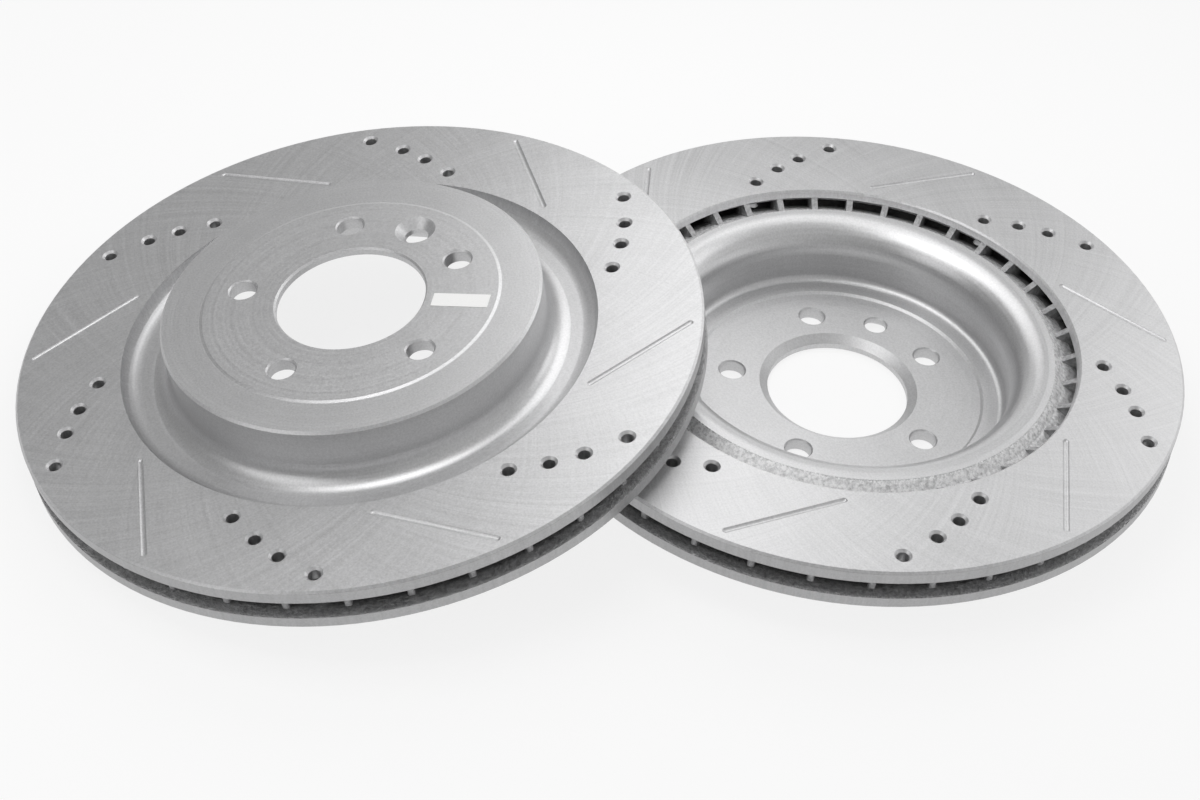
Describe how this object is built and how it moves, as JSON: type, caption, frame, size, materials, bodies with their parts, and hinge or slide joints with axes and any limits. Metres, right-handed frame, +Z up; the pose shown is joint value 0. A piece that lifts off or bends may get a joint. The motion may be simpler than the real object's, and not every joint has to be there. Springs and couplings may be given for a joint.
{
  "type": "brake disc pair",
  "caption": "Pair of ventilated brake discs with drilled and slotted friction rings and a hat-shaped centre, one lying flat and one leaning on it.",
  "frame": {"origin": "on the floor under the middle of the pair's bounding box", "axes": "+Z up; +X along the floor from the leaning disc's axis to the flat disc's axis; +Y away from the viewer"},
  "size_m": [0.6284, 0.365, 0.097],
  "materials": {
    "machined": "turned, silver corrosion-proof coating, satin",
    "friction": "ground cross-hatch, silver corrosion-proof coating, satin",
    "casting": "rough as cast, silver coating",
    "paper": "matt white paper label, blank"
  },
  "bodies": {
    "right_disc": {"right_hat_face": "machined", "right_hat_wall": "machined", "right_neck": "machined", "right_shoulder": "machined", "right_outboard_ring": "friction", "right_vanes": "casting", "right_inboard_ring": "friction"},
    "left_disc": {"left_hat_face": "machined", "left_hat_wall": "machined", "left_neck": "machined", "left_shoulder": "machined", "left_outboard_ring": "friction", "left_vanes": "casting", "left_inboard_ring": "friction", "left_label": "paper"}
  },
  "joints": [
    {"name": "left_disc_lift", "type": "slide", "parent": "right_disc", "child": "left_disc", "axis": [0, 0, 1], "range_m": [0, 0.15]}
  ]
}
